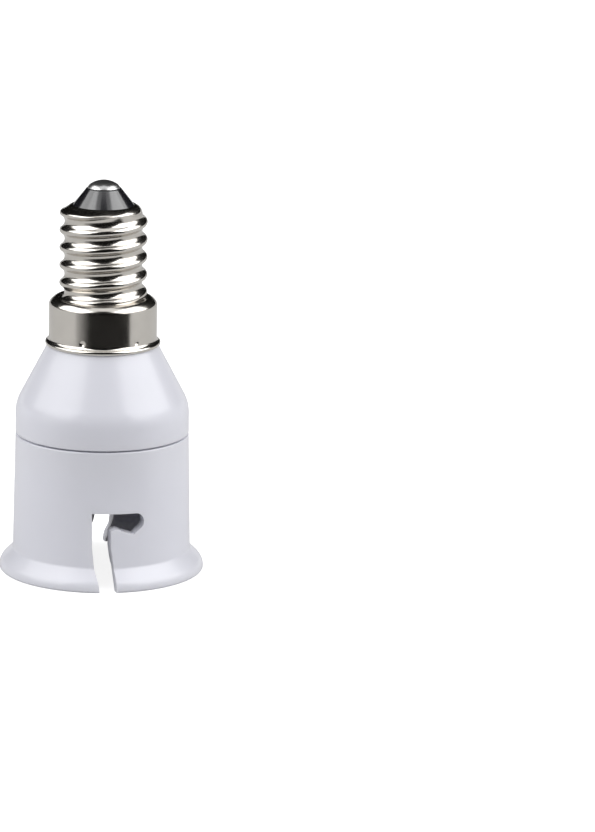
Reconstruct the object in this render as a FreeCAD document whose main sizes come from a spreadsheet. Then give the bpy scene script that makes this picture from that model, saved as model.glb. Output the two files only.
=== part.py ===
import FreeCAD, Part
import math
import os
import re

import Sketcher
from FreeCAD import Placement, Rotation, Vector

# Screw-to-bayonet lamp socket adapter, standing on the rim of its socket, screw cap up.
# Millimetres. The origin is the centre of the rim, +Z runs up to the tip contact and
# the front slot of the socket faces -Y.

# Sizes that can be set by themselves
SIZES = {
    # Socket barrel: its bore, then steps and walls outward from the bore
    "socket_radius": 11.85,
    "throat_step": 0.3,
    "seat_step": 0.75,
    "barrel_wall": 1.93,
    "barrel_draft": 0.37,
    "lip_flare": 2.15,
    "lip_hollow": 1.15,
    "lip_crown": 3.5,
    "crown_height": 1.6,
    "rim_round": 0.3,
    "rim_wall": 1.7,
    "funnel_height": 5.1,
    "funnel_slope": 12,
    "funnel_swell": 2.2,
    "socket_length": 7.7,
    "socket_depth": 17.9,
    "spigot_length": 2.0,
    # Bayonet slots, measured along the face that the mould core leaves
    "slot_turn": 15,
    "slot_left": 5.04,
    "slot_width": 2.75,
    "slot_top": 12.2,
    "slot_run": 8.3,
    "run_height": 2.45,
    "hook_round": 1.4,
    "notch_depth": 0.95,
    "notch_place": 6.6,
    "hump_width": 1.75,
    "hump_drop": 0.32,
    "hump_round": 1.3,
    "slot_count": 2,
    "slot_lead": 0.6,
    # Cover, from the seam up
    "seam_gap": 0.15,
    "fit_gap": 0.1,
    "cover_band": 4.9,
    "cone_round": 6.0,
    "cone_height": 9.55,
    "cone_ledge": 0.65,
    "cover_wall": 2.3,
    "neck_wall": 1.8,
    "stem_bore": 4.2,
    # Screw shell: standard 14 mm rolled thread on a 17 mm collar
    "shell_wall": 0.35,
    "flange_width": 0.58,
    "flange_edge": 0.45,
    "flange_flare": 0.8,
    "collar_step": 0.805,
    "collar_height": 7.65,
    "collar_round": 1.6,
    "thread_crest_radius": 6.945,
    "thread_root_radius": 6.145,
    "thread_pitch": 2.822,
    "thread_turns": 4.28,
    "thread_start": 1.0,
    "ridge_foot_share": 0.4,
    "ridge_crest_share": 0.1,
    "thread_length": 13.5,
    "brow_radius": 6.35,
    "brow_rise": 0.3,
    "brow_round": 1.8,
    "brow_height": 1.35,
    # Tip
    "tip_mouth_radius": 4.85,
    "tip_cone_height": 2.98,
    "tip_top_radius": 2.5,
    "button_radius": 2.42,
    "button_height": 1.05,
    "button_edge": 0.2,
    "eyelet_radius": 1.15,
    "eyelet_bore": 0.6,
    "eyelet_tail": 1.2,
    # Contact carrier and plungers
    "carrier_plate": 2.2,
    "tower_height": 10.1,
    "tower_wall": 1.25,
    "contact_spread": 8.2,
    "contact_turn": 21,
    "sleeve_radius": 2.7,
    "sleeve_wall": 0.3,
    "sleeve_flange": 3.3,
    "rivet_radius": 0.8,
    "rivet_height": 0.75,
    "plunger_radius": 2.0,
    "plunger_dome": 1.4,
    "plunger_reach": 4.7,
    "plunger_travel": 4.7,
    "running_gap": 0.05,
    "stop_gap": 0.1,
    "head_height": 1.2,
    "guide_radius": 1.3,
    "spring_radius": 1.85,
    "wire_radius": 0.225,
    "spring_turns": 4,
    # Tags, leads and solder
    "tag_radius": 1.9,
    "tag_thickness": 0.4,
    "tag_width": 1.8,
    "tag_rise": 3.2,
    "lead_core": 0.35,
    "lead_cover": 0.75,
    "strip_length": 2.4,
    "lead_start": 0.3,
    "lead_rise": 3.2,
    "lead_slant": 8.5,
    "shell_lead_rise": 3.0,
    "lead_hole": 0.6,
    "lead_strip": 2.2,
    "solder_radius": 0.75,
    "solder_gap": 0.01,
    "solder_film": 0.15,
    "solder_height": 1.3,
}

# The lip's slope, and the turn of the round at the end of a slot
CORE_TURN = 45
TURNED = f"cos({CORE_TURN})"

# Heights and radii that follow from them
DERIVED = {
    "throat_radius": "socket_radius - throat_step",
    "seat_radius": "socket_radius + seat_step",
    "barrel_top_radius": "socket_radius + barrel_wall",
    "barrel_foot_radius": "barrel_top_radius + barrel_draft",
    "mouth_radius": "barrel_foot_radius + lip_flare",
    "crown_end": "rim_round + crown_height",
    "lip_slope": f"lip_flare - (lip_hollow + lip_crown) * (1 - {TURNED})",
    "lip_height": f"crown_end + lip_slope + lip_hollow * {TURNED}",
    "barrel_height": "carrier_top + spigot_length",
    "cover_foot": "barrel_height + seam_gap",
    "cone_foot": "barrel_height + cover_band",
    "cone_top": "cone_foot + cone_height",
    "collar_top": "cone_top + collar_height",
    "thread_top": "collar_top + thread_length",
    "shell_top": "thread_top + brow_height",
    "socket_foot": "rim_round + funnel_height",
    "socket_top": "socket_foot + socket_length",
    "carrier_top": "socket_depth + carrier_plate",
    "tower_top": "socket_depth + tower_height",
    "cover_bore": "barrel_top_radius - cover_wall",
    "collar_radius": "thread_root_radius + collar_step + collar_round",
    "flange_radius": "collar_radius + flange_width",
    "neck_radius": "collar_radius - shell_wall - fit_gap",
    "cone_top_radius": "neck_radius + cone_ledge",
    "neck_bore": "neck_radius - neck_wall",
    "neck_step": "collar_top - collar_round - neck_wall",
    "stem_radius": "thread_root_radius - shell_wall - fit_gap",
    "stem_top": "thread_top - fit_gap",
    "tip_top": "shell_top + tip_cone_height",
    "button_top": "tip_top + button_height",
    "slot_foot": "slot_top - run_height",
    "cone_slope": "atan((barrel_top_radius - cone_top_radius) / cone_height)",
    "ridge_start": "collar_top + thread_start",
    "ridge_foot": "thread_pitch * ridge_foot_share",
    "ridge_crest": "thread_pitch * ridge_crest_share",
    "button_rise": "button_height - button_edge",
    "button_round": "(button_radius ^ 2 + button_rise ^ 2) / (2 * button_rise)",
    "plunger_round": "(plunger_radius ^ 2 + plunger_dome ^ 2) / (2 * plunger_dome)",
    "sleeve_bore": "sleeve_radius - sleeve_wall",
    "head_radius": "sleeve_bore - running_gap",
    "head_foot": "socket_depth + sleeve_wall + stop_gap",
    "plunger_tip": "socket_depth - plunger_reach",
    "head_top": "head_foot + head_height",
    "spring_room": "tower_top - head_top",
    "guide_height": "spring_room - plunger_travel - stop_gap",
    "tag_foot": "tower_top + sleeve_wall",
    "contact_offset": "contact_spread / 2",
    "lead_place": "contact_offset + tag_radius - tag_thickness - solder_film - lead_core",
    "core_start": "tag_foot + rivet_height + lead_start",
    "cover_start": "core_start + strip_length",
    "lead_exit": "cone_top + shell_lead_rise",
}

WORD = re.compile(r"[a-z][a-z_]*")
WHOLE_TURN = 360
LEAD_SIDE_COUNT = 6
SPRING_SIDE_COUNT = 4
# A round stretch of a turned outline is drawn as this many chords, which keeps the mesh light
ROUND_CHORDS = 2

doc = FreeCAD.newDocument("lamp_socket_adapter")
sheet = doc.addObject("Spreadsheet::Sheet", "Sizes")
for row, (alias, value) in enumerate(SIZES.items(), start=1):
    sheet.set(f"A{row}", alias)
    sheet.set(f"B{row}", str(value))
    sheet.setAlias(f"B{row}", alias)
doc.recompute()


def formula(text):
    """Spell a size formula out in cells of the sheet."""

    def spell(match):
        word = match.group()
        if word in SIZES:
            return f"Sizes.{word}"
        if word in DERIVED:
            return f"({formula(DERIVED[word])})"
        return word

    return WORD.sub(spell, str(text))


def measure(text):
    """Work a size formula out to a plain number."""
    return float(sheet.evalExpression(formula(text)))


def make_body(name):
    """Start a body whose label is the piece's name."""
    body = doc.addObject("PartDesign::Body", name)
    body.Label = name
    return body


def origin_plane(body, role):
    """Find one of the body's own origin planes or axes."""
    return next(item for item in body.Origin.OriginFeatures if item.Role == role)


def arc_through(start, end, radius, side):
    """Short arc from start to end, its centre to the left of the way (+1) or to the right (-1)."""
    chord = end - start
    middle = (start + end) * 0.5
    height = math.sqrt(max(radius**2 - (chord.Length / 2) ** 2, 0.0))
    left = Vector(-chord.y, chord.x, 0).normalize()
    centre = middle + left * (height * side)
    first, last = (start, end) if side > 0 else (end, start)
    angles = [math.atan2(point.y - centre.y, point.x - centre.x) for point in (first, last)]
    if angles[1] < angles[0]:
        angles[1] += 2 * math.pi
    return Part.ArcOfCircle(Part.Circle(centre, Vector(0, 0, 1), radius), angles[0], angles[1])


def add_sketch(body, name, role="XZ_Plane", turn=None, lift=None):
    """Sketch on an origin plane, turned about the plane's upright or lifted along its normal."""
    sketch = body.newObject("Sketcher::SketchObject", name)
    sketch.AttachmentSupport = [(origin_plane(body, role), "")]
    sketch.MapMode = "FlatFace"
    if turn is not None:
        sketch.AttachmentOffset = Placement(Vector(), Rotation(Vector(0, 1, 0), measure(turn)))
        sketch.setExpression("AttachmentOffset.Rotation.Axis.x", "0")
        sketch.setExpression("AttachmentOffset.Rotation.Axis.y", "1")
        sketch.setExpression("AttachmentOffset.Rotation.Axis.z", "0")
        sketch.setExpression("AttachmentOffset.Rotation.Angle", formula(turn))
    if lift is not None:
        sketch.setExpression("AttachmentOffset.Base.z", formula(lift))
    return sketch


def hold(sketch, kind, *places, size):
    """Add a constraint whose size comes from the sheet."""
    index = sketch.addConstraint(Sketcher.Constraint(kind, *places, measure(size)))
    sketch.setExpression(f"Constraints[{index}]", formula(size))


def add_round(sketch, start, end, radius, side, chords):
    """Add an arc between two points, or that many equal chords of it when chords is not 0.

    Returns the first and last edges with the vertex at which each meets its neighbour.
    """
    arc = arc_through(start, end, measure(radius), side)
    edge = sketch.addGeometry(arc, chords > 0)
    hold(sketch, "Radius", edge, size=radius)
    first, last = (1, 2) if side > 0 else (2, 1)
    if not chords:
        return edge, first, edge, last
    span = arc.LastParameter - arc.FirstParameter
    shares = [step / chords for step in range(chords + 1)]
    if side < 0:
        shares.reverse()
    points = [arc.value(arc.FirstParameter + span * share) for share in shares]
    lines = [sketch.addGeometry(Part.LineSegment(*pair)) for pair in zip(points, points[1:])]
    for before, after in zip(lines, lines[1:]):
        sketch.addConstraint(Sketcher.Constraint("Coincident", before, 2, after, 1))
        sketch.addConstraint(Sketcher.Constraint("PointOnObject", after, 1, edge))
        sketch.addConstraint(Sketcher.Constraint("Equal", before, after))
    sketch.addConstraint(Sketcher.Constraint("Coincident", edge, first, lines[0], 1))
    sketch.addConstraint(Sketcher.Constraint("Coincident", edge, last, lines[-1], 2))
    return lines[0], 1, lines[-1], 2


def draw_outline(sketch, corners, closed=True, chords=0):
    """Draw lines and arcs through corners (across, up) or (across, up, radius, side of centre)."""
    points = [Vector(measure(corner[0]), measure(corner[1]), 0) for corner in corners]
    runs = len(corners) if closed else len(corners) - 1
    ends = []
    for index in range(runs):
        start, end = points[index], points[(index + 1) % len(points)]
        bend = corners[(index + 1) % len(corners)][2:]
        if bend:
            ends.append(add_round(sketch, start, end, *bend, chords))
        else:
            edge = sketch.addGeometry(Part.LineSegment(start, end))
            ends.append((edge, 1, edge, 2))
    for index, (edge, vertex, last_edge, last_vertex) in enumerate(ends):
        across, up = corners[index][:2]
        hold(sketch, "DistanceX", -1, 1, edge, vertex, size=across)
        hold(sketch, "DistanceY", -1, 1, edge, vertex, size=up)
        if closed or index + 1 < runs:
            following = ends[(index + 1) % runs][:2]
            sketch.addConstraint(Sketcher.Constraint("Coincident", last_edge, last_vertex, *following))
    if not closed:
        across, up = corners[-1][:2]
        hold(sketch, "DistanceX", -1, 1, *ends[-1][2:], size=across)
        hold(sketch, "DistanceY", -1, 1, *ends[-1][2:], size=up)
    return sketch


def draw_circle(sketch, across, up, radius):
    """Draw a circle held by its centre and radius."""
    centre = Vector(measure(across), measure(up), 0)
    edge = sketch.addGeometry(Part.Circle(centre, Vector(0, 0, 1), measure(radius)))
    hold(sketch, "DistanceX", -1, 1, edge, 3, size=across)
    hold(sketch, "DistanceY", -1, 1, edge, 3, size=up)
    hold(sketch, "Radius", edge, size=radius)
    return sketch


def revolve(body, name, corners, chords=ROUND_CHORDS):
    """Turn a closed outline (radius, height) about the body's upright axis."""
    sketch = draw_outline(add_sketch(body, f"{name}_outline"), corners, chords=chords)
    turned = body.newObject("PartDesign::Revolution", name)
    turned.Profile = sketch
    turned.ReferenceAxis = (sketch, ["V_Axis"])
    turned.Angle = WHOLE_TURN
    body.Tip = turned
    return turned


def ring_of(body, name, feature, count, sketch):
    """Repeat a feature round the upright axis."""
    ring = body.newObject("PartDesign::PolarPattern", name)
    ring.Originals = [feature]
    ring.Axis = (sketch, ["V_Axis"])
    ring.Angle = WHOLE_TURN
    ring.setExpression("Occurrences", formula(count))
    body.Tip = ring
    return ring


def extrude(body, name, sketch, length):
    """Raise a sketch upward by a length."""
    pad = body.newObject("PartDesign::Pad", name)
    pad.Profile = sketch
    pad.setExpression("Length", formula(length))
    body.Tip = pad
    return pad


def wind(body, name, sketch, pitch, height):
    """Sweep an outline up a right-hand helix about the upright axis."""
    helix = body.newObject("PartDesign::AdditiveHelix", name)
    helix.Profile = sketch
    helix.ReferenceAxis = (sketch, ["V_Axis"])
    helix.setExpression("Pitch", formula(pitch))
    helix.setExpression("Height", formula(height))
    body.Tip = helix
    return helix


def draw_wire(sketch, across, up, radius, sides=LEAD_SIDE_COUNT):
    """Draw a wire's section as a regular outline of that many sides, which keeps the mesh light."""
    turns = [WHOLE_TURN * index / sides for index in range(sides)]
    corners = [(f"{across} + {radius} * cos({turn})", f"{up} + {radius} * sin({turn})") for turn in turns]
    return draw_outline(sketch, corners)


def strand(body, name, across, up, radius, length):
    """Raise a straight wire from a height."""
    sketch = add_sketch(body, f"{name}_section", role="XY_Plane", lift=up)
    draw_wire(sketch, across, "0", radius)
    return extrude(body, name, sketch, length)


def pull(body, name, path, radius):
    """Sweep a wire's section along a path of straight runs that starts upright."""
    spine = draw_outline(add_sketch(body, f"{name}_path"), path, closed=False)
    section = add_sketch(body, f"{name}_section", role="XY_Plane", lift=path[0][1])
    draw_wire(section, path[0][0], "0", radius)
    pipe = body.newObject("PartDesign::AdditivePipe", name)
    pipe.Profile = section
    pipe.Spine = (spine, [])
    pipe.Transition = "Right corner"
    body.Tip = pipe
    return pipe


def stand_on_contact_line(body, side):
    """Place a body at one end of the line through the two plungers."""
    body.setExpression("Placement.Base.x", formula(f"{side} * contact_offset * cos(contact_turn)"))
    body.setExpression("Placement.Base.y", formula(f"{side} * contact_offset * sin(contact_turn)"))


def face_contact_line(body, side=1):
    """Turn a body so that its X axis runs along the contact line, to the plunger of that side."""
    turn = f"contact_turn + {0 if side > 0 else WHOLE_TURN / 2}"
    body.Placement.Rotation = Rotation(Vector(0, 0, 1), measure(turn))
    body.setExpression("Placement.Rotation.Angle", formula(turn))


# Lower housing: moulded socket barrel with a bell lip, a seat for the carrier and two slots
def make_lower_housing():
    body = make_body("lower_housing")
    funnel = "(mouth_radius - rim_wall)"
    corners = [
        (f"{funnel} + rim_round", "0"),
        ("mouth_radius - rim_round", "0"),
        ("mouth_radius", "rim_round"),
        (f"mouth_radius - lip_crown * (1 - {TURNED})", "crown_end", "lip_crown", 1),
        (f"barrel_foot_radius + lip_hollow * (1 - {TURNED})", "crown_end + lip_slope"),
        ("barrel_foot_radius", "lip_height", "lip_hollow", -1),
        ("barrel_top_radius", "barrel_height"),
        ("seat_radius", "barrel_height"),
        ("seat_radius", "socket_depth"),
        ("throat_radius", "socket_depth"),
        ("throat_radius", "socket_top"),
        ("socket_radius", "socket_top"),
        ("socket_radius", "socket_foot"),
        ("socket_radius + funnel_swell * tan(funnel_slope)", "socket_foot - funnel_swell"),
        (funnel, "rim_round"),
    ]
    revolve(body, "barrel", corners)
    cut_slots(body)


# Bayonet slot: up from the rim, along, over a hump and down into the notch that holds the pin
def cut_slots(body):
    sketch = add_sketch(body, "slot_outline", turn="slot_turn")
    left = "-slot_left"
    end = f"{left} + slot_run"
    corners = [
        (f"{left} + slot_lead", "-rim_round"),
        (left, "lip_height"),
        (left, "slot_top"),
        (f"{end} - hook_round", "slot_top"),
        (end, "slot_top - hook_round", "hook_round", -1),
        (
            f"{end} - hook_round * (1 - {TURNED})",
            f"slot_top - hook_round * (1 + {TURNED})",
            "hook_round",
            -1,
        ),
        (f"{left} + notch_place", "slot_foot - notch_depth"),
        (f"{left} + slot_width + hump_width", "slot_foot - hump_drop"),
        (f"{left} + slot_width", "slot_foot - hump_drop", "hump_round", 1),
        (f"{left} + slot_width", "lip_height"),
        (f"{left} + slot_width + slot_lead", "-rim_round"),
    ]
    draw_outline(sketch, corners)
    cut = body.newObject("PartDesign::Pocket", "slot")
    cut.Profile = sketch
    cut.Reversed = True
    cut.setExpression("Length", formula("mouth_radius + rim_round"))
    ring_of(body, "slots", cut, "slot_count", sketch)


# Cover: cone-shaped moulding with a spigot below and a stepped hollow neck for the screw shell
def make_upper_housing():
    body = make_body("upper_housing")
    tangent = "cone_round * tan(cone_slope / 2)"
    corners = [
        ("cover_bore", "carrier_top"),
        ("seat_radius - fit_gap", "carrier_top"),
        ("seat_radius - fit_gap", "cover_foot"),
        ("barrel_top_radius", "cover_foot"),
        ("barrel_top_radius", f"cone_foot - {tangent}"),
        (
            f"barrel_top_radius - {tangent} * sin(cone_slope)",
            f"cone_foot + {tangent} * cos(cone_slope)",
            "cone_round",
            1,
        ),
        ("cone_top_radius", "cone_top"),
        ("neck_radius", "cone_top"),
        ("neck_radius", "collar_top - collar_round"),
        ("stem_radius", "collar_top - collar_round"),
        ("stem_radius", "stem_top"),
        ("stem_bore", "stem_top"),
        ("stem_bore", "neck_step"),
        ("neck_bore", "neck_step"),
        ("neck_bore", "cone_foot + (cover_bore - neck_bore) / tan(cone_slope)"),
        ("cover_bore", "cone_foot"),
    ]
    revolve(body, "cover", corners)
    sketch = add_sketch(body, "lead_hole_outline", role="YZ_Plane", turn="contact_turn")
    draw_circle(sketch, "0", "lead_exit", "lead_hole")
    hole = body.newObject("PartDesign::Pocket", "lead_passage")
    hole.Profile = sketch
    hole.Reversed = True
    hole.setExpression("Length", formula("neck_radius + fit_gap"))
    body.Tip = hole


# Screw shell: thin plated cup with a flared foot, rounded collar, rolled thread and turned-in brow
def make_screw_shell():
    body = make_body("screw_shell")
    inner_collar = "collar_radius - shell_wall"
    inner_root = "thread_root_radius - shell_wall"
    corners = [
        (inner_collar, "cone_top"),
        ("flange_radius", "cone_top"),
        ("flange_radius", "cone_top + flange_edge"),
        ("collar_radius", "cone_top + flange_edge + flange_flare", "flange_flare", -1),
        ("collar_radius", "collar_top - collar_round"),
        ("collar_radius - collar_round", "collar_top", "collar_round", 1),
        ("thread_root_radius", "collar_top"),
        ("thread_root_radius", "thread_top"),
        ("brow_radius", "thread_top + brow_rise"),
        ("tip_mouth_radius", "shell_top", "brow_round", 1),
        ("tip_mouth_radius", "shell_top - shell_wall"),
        (inner_root, "thread_top + brow_rise"),
        (inner_root, "collar_top - shell_wall"),
        ("collar_radius - collar_round", "collar_top - shell_wall"),
        (inner_collar, "collar_top - collar_round"),
    ]
    revolve(body, "shell", corners)
    roll_thread(body)


# Rolled thread: one right-hand ridge of standard pitch, wound on the shell's root cylinder
def roll_thread(body):
    seat = "thread_root_radius - shell_wall / 2"
    corners = [
        (seat, "ridge_start - ridge_foot"),
        ("thread_crest_radius", "ridge_start - ridge_crest"),
        ("thread_crest_radius", "ridge_start + ridge_crest"),
        (seat, "ridge_start + ridge_foot"),
    ]
    sketch = draw_outline(add_sketch(body, "ridge_outline"), corners)
    wind(body, "ridge", sketch, "thread_pitch", "thread_pitch * thread_turns")


# Tip insulator: moulded cone that plugs the shell's brow and stands on the neck's stem
def make_tip_insulator():
    body = make_body("tip_insulator")
    plug = "(tip_mouth_radius - fit_gap)"
    corners = [
        ("eyelet_radius + running_gap", "stem_top"),
        ("stem_radius", "stem_top"),
        ("stem_radius", "thread_top + brow_rise"),
        (plug, "shell_top - shell_wall - fit_gap"),
        (plug, "shell_top"),
        ("tip_top_radius", "tip_top"),
        ("eyelet_radius + running_gap", "tip_top"),
    ]
    revolve(body, "cone", corners)


# Centre contact: domed eyelet, hollow from below for the lead
def make_centre_contact():
    body = make_body("centre_contact")
    corners = [
        ("eyelet_bore", "stem_top - eyelet_tail"),
        ("eyelet_radius", "stem_top - eyelet_tail"),
        ("eyelet_radius", "tip_top"),
        ("button_radius", "tip_top"),
        ("button_radius", "tip_top + button_edge"),
        ("0", "button_top", "button_round", 1),
        ("0", "tip_top"),
        ("eyelet_bore", "tip_top"),
    ]
    revolve(body, "button", corners)


# Contact carrier: plate clamped in the barrel, with a long tower for the two contact sleeves
def make_contact_carrier():
    body = make_body("contact_carrier")
    face_contact_line(body)
    plate = add_sketch(body, "plate_outline", role="XY_Plane", lift="socket_depth")
    draw_circle(plate, "0", "0", "seat_radius - fit_gap")
    extrude(body, "plate", plate, "carrier_plate")
    tower = add_sketch(body, "tower_outline", role="XY_Plane", lift="carrier_top")
    half = "(sleeve_radius + tower_wall)"
    corners = [
        ("-contact_offset", f"-{half}"),
        ("contact_offset", f"-{half}"),
        (f"contact_offset + {half}", "0", half, 1),
        ("contact_offset", half, half, 1),
        ("-contact_offset", half),
        (f"-contact_offset - {half}", "0", half, 1),
    ]
    corners[0] += (half, 1)
    draw_outline(tower, corners)
    extrude(body, "tower", tower, "tower_height - carrier_plate")
    bores = add_sketch(body, "bore_outline", role="XY_Plane")
    for side in (-1, 1):
        draw_circle(bores, f"{side} * contact_offset", "0", "sleeve_radius + running_gap")
    cut = body.newObject("PartDesign::Pocket", "bores")
    cut.Profile = bores
    cut.Reversed = True
    cut.setExpression("Length", formula("tower_top + fit_gap"))
    body.Tip = cut


# Contact sleeve: drawn brass tube with a lip below, closed above by a rivet head for the tag
def make_sleeve(name, side):
    body = make_body(name)
    stand_on_contact_line(body, side)
    lip = "plunger_radius + running_gap"
    corners = [
        (lip, "socket_depth"),
        ("sleeve_radius", "socket_depth"),
        ("sleeve_radius", "tower_top"),
        ("sleeve_flange", "tower_top"),
        ("sleeve_flange", "tag_foot"),
        ("rivet_radius", "tag_foot"),
        ("rivet_radius", "tag_foot + rivet_height"),
        ("0", "tag_foot + rivet_height"),
        ("0", "tower_top"),
        ("sleeve_bore", "tower_top"),
        ("sleeve_bore", "socket_depth + sleeve_wall"),
        (lip, "socket_depth + sleeve_wall"),
    ]
    revolve(body, f"{name}_tube", corners)


# Plunger: turned pin with a domed tip, a head that slides in the sleeve and a spring guide
def make_plunger(name, side):
    body = make_body(name)
    stand_on_contact_line(body, side)
    corners = [
        ("0", "plunger_tip"),
        ("plunger_radius", "plunger_tip + plunger_dome", "plunger_round", 1),
        ("plunger_radius", "head_foot"),
        ("head_radius", "head_foot"),
        ("head_radius", "head_top"),
        ("guide_radius", "head_top"),
        ("guide_radius", "head_top + guide_height"),
        ("0", "head_top + guide_height"),
    ]
    revolve(body, f"{name}_pin", corners)


# Spring: open coil between the plunger's head and the closed end of its sleeve
def make_spring(name, side):
    body = make_body(name)
    stand_on_contact_line(body, side)
    sketch = add_sketch(body, f"{name}_wire")
    foot = "(head_top + running_gap + wire_radius)"
    draw_wire(sketch, "spring_radius", foot, "wire_radius", SPRING_SIDE_COUNT)
    height = "(spring_room - 2 * running_gap - 2 * wire_radius)"
    wind(body, f"{name}_coil", sketch, f"{height} / spring_turns", height)


# Solder tag: brass washer riveted on the sleeve, with an upright ear for the lead
def make_tag(name, side):
    body = make_body(name)
    stand_on_contact_line(body, side)
    face_contact_line(body, side)
    washer = add_sketch(body, f"{name}_washer_outline", role="XY_Plane", lift="tag_foot")
    draw_circle(washer, "0", "0", "tag_radius")
    draw_circle(washer, "0", "0", "rivet_radius + running_gap")
    extrude(body, f"{name}_washer", washer, "tag_thickness")
    ear = add_sketch(body, f"{name}_ear_outline", role="XY_Plane", lift="tag_foot")
    half = "tag_width / 2"
    corners = [
        ("tag_radius - tag_thickness", f"-{half}"),
        ("tag_radius", f"-{half}"),
        ("tag_radius", half),
        ("tag_radius - tag_thickness", half),
    ]
    draw_outline(ear, corners)
    extrude(body, f"{name}_ear", ear, "tag_rise")


# Centre lead: insulated wire from the left tag to the hollow of the centre contact
def make_centre_lead():
    body = make_body("centre_lead")
    face_contact_line(body)
    start = "-lead_place"
    cover_end = "stem_top - eyelet_tail - lead_start"
    path = [
        (start, "cover_start"),
        (start, "cover_start + lead_rise"),
        ("0", "cover_start + lead_rise + lead_slant"),
        ("0", cover_end),
    ]
    pull(body, "centre_cover", path, "lead_cover")
    strand(body, "centre_core_foot", start, "core_start", "lead_core", "cover_start - core_start")
    strand(body, "centre_core_tip", "0", cover_end, "lead_core", f"tip_top - running_gap - ({cover_end})")


# Shell lead: insulated wire from the right tag, its bare end trapped between neck and shell
def make_shell_lead():
    body = make_body("shell_lead")
    face_contact_line(body)
    path = [
        ("lead_place", "core_start"),
        ("lead_place", "lead_exit"),
        ("neck_radius + fit_gap / 2", "lead_exit"),
    ]
    pull(body, "shell_core", path, "lead_core")
    rise = "lead_exit - lead_strip - cover_start"
    strand(body, "shell_cover", "lead_place", "cover_start", "lead_cover", rise)


# Solder at a tag: small bead of solder about the bare wire, flat against the ear
def make_tag_solder(name, side):
    body = make_body(name)
    face_contact_line(body, side)
    sketch = add_sketch(body, f"{name}_outline", role="XY_Plane", lift="core_start + running_gap")
    face = "lead_place + lead_core + solder_film - solder_gap"
    corners = [
        ("lead_place", "-solder_radius"),
        (face, "-solder_radius"),
        (face, "solder_radius"),
        ("lead_place", "solder_radius"),
        ("lead_place - solder_radius", "0", "solder_radius", 1),
    ]
    corners[0] += ("solder_radius", 1)
    draw_outline(sketch, corners)
    draw_wire(sketch, "lead_place", "0", "(lead_core + solder_gap)")
    extrude(body, f"{name}_bead", sketch, "solder_height")


# Tip solder: fills the eyelet round the end of the centre lead
def make_tip_solder():
    body = make_body("tip_solder")
    face_contact_line(body)
    sketch = add_sketch(body, "eyelet_fill_outline", role="XY_Plane", lift="tip_top - solder_height")
    draw_circle(sketch, "0", "0", "eyelet_bore - solder_gap")
    draw_wire(sketch, "0", "0", "(lead_core + solder_gap)")
    extrude(body, "eyelet_fill", sketch, "solder_height - solder_gap")


SIDES = {"left": -1, "right": 1}
make_lower_housing()
make_upper_housing()
make_screw_shell()
make_tip_insulator()
make_centre_contact()
make_contact_carrier()
for word, side in SIDES.items():
    make_sleeve(f"contact_sleeve_{word}", side)
    make_plunger(f"plunger_{word}", side)
    make_spring(f"plunger_spring_{word}", side)
    make_tag(f"solder_tag_{word}", side)
    make_tag_solder(f"tag_solder_{word}", side)
make_centre_lead()
make_shell_lead()
make_tip_solder()
doc.recompute()

bodies = [item for item in doc.Objects if item.TypeId == "PartDesign::Body"]
for item in doc.Objects:
    if "Invalid" in item.State or "Error" in item.State:
        raise RuntimeError(f"{item.Label} did not build: {item.State}")
for body in bodies:
    if body.Shape.isNull() or not body.Shape.isValid():
        raise RuntimeError(f"{body.Label} has no valid shape")

os.makedirs("parts", exist_ok=True)
for body in bodies:
    body.Shape.exportStep(os.path.join("parts", f"{body.Label}.step"))
    print(f"{body.Label}: {len(body.Shape.Solids)} solid, {body.Shape.Volume:.1f} mm3")
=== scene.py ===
"""Lamp socket adapter: its finishes, fine shapes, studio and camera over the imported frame.

Blender's unit is the metre. The adapter's own sizes below are in millimetres, as on its
drawing, and MM turns them into metres.
"""
import logging
import math
from collections.abc import Mapping, Sequence
from dataclasses import dataclass
from enum import Enum

import bpy
from mathutils import Matrix, Vector


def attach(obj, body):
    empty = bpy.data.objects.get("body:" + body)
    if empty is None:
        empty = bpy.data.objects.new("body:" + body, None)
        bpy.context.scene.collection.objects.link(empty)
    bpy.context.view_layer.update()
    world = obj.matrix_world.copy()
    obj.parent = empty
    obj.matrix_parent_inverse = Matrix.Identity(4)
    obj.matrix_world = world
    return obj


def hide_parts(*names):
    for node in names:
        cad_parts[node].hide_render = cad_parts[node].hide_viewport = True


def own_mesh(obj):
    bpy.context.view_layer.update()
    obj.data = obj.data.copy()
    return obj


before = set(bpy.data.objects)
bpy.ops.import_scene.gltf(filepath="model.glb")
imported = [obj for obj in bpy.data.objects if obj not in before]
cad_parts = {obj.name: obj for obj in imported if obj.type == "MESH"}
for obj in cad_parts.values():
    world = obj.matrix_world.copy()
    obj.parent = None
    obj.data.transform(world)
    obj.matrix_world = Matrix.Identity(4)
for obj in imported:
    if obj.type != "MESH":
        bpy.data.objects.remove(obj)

MM = 0.001
CORNER = math.sqrt(0.5)
FULL_TURN = 2.0 * math.pi
ARC_STEP = math.radians(6.0)
CREASE = 32.0
WIRE_CREASE = 50.0
SHORT = 1e-6
Point = tuple[float, float]
Pair = tuple[float, float]
Triple = tuple[float, float, float]
Colour = tuple[float, float, float, float]
log = logging.getLogger("adapter")


class Body(Enum):
    """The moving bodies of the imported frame."""

    HOUSING = "housing"
    LEFT_PLUNGER = "left_plunger"
    RIGHT_PLUNGER = "right_plunger"


class Slot(Enum):
    """The record's material slots."""

    WHITE = "white_moulding"
    INNER = "inner_moulding"
    BLACK = "black_moulding"
    NICKEL = "nickel_plate"
    BRASS = "brass"
    SPRING = "spring_steel"
    SOLDER = "solder"
    LEAD = "lead_cover"


# Shader sockets as numbers


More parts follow.
